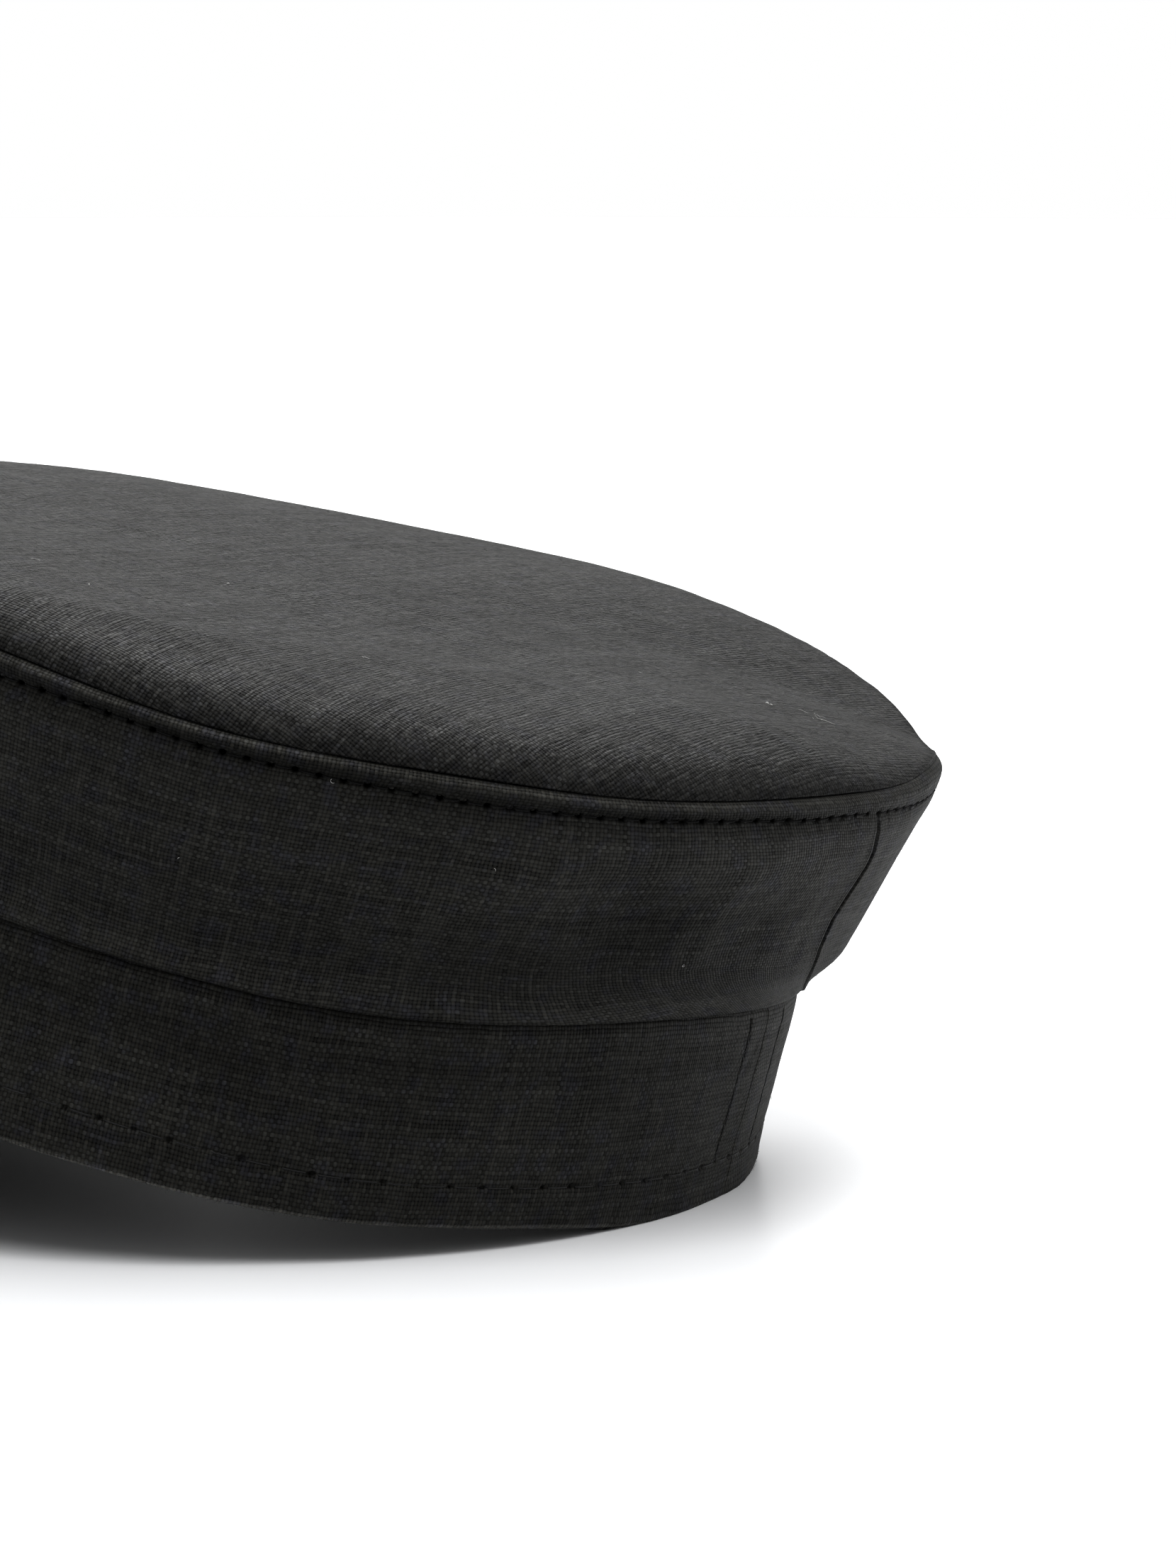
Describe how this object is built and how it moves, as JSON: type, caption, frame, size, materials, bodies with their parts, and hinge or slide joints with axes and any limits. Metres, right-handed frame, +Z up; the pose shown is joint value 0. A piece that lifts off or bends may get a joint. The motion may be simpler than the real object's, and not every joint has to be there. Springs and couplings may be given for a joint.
{
  "type": "baker boy hat",
  "caption": "Black linen baker boy hat with a flat round crown top, a flared side, an upright band and a short cloth-covered peak; hollow and open below.",
  "frame": {"origin": "on the surface that the hat lies on, under the middle of the hat's box", "axes": "+Z up, -Y the way the peak points, +Y the back of the hat, +X the wearer's left"},
  "size_m": [0.2028, 0.2456, 0.1133],
  "materials": {
    "crown_linen": "matte black plain-weave linen, laid on the bias",
    "side_linen": "matte black plain-weave linen with a topstitched upper edge",
    "band_linen": "matte black plain-weave linen with topstitching",
    "peak_linen": "matte black plain-weave linen over a stiff visor"
  },
  "bodies": {
    "root": {"crown_top": "crown_linen", "crown_side": "side_linen", "band": "band_linen", "peak": "peak_linen"}
  },
  "joints": []
}
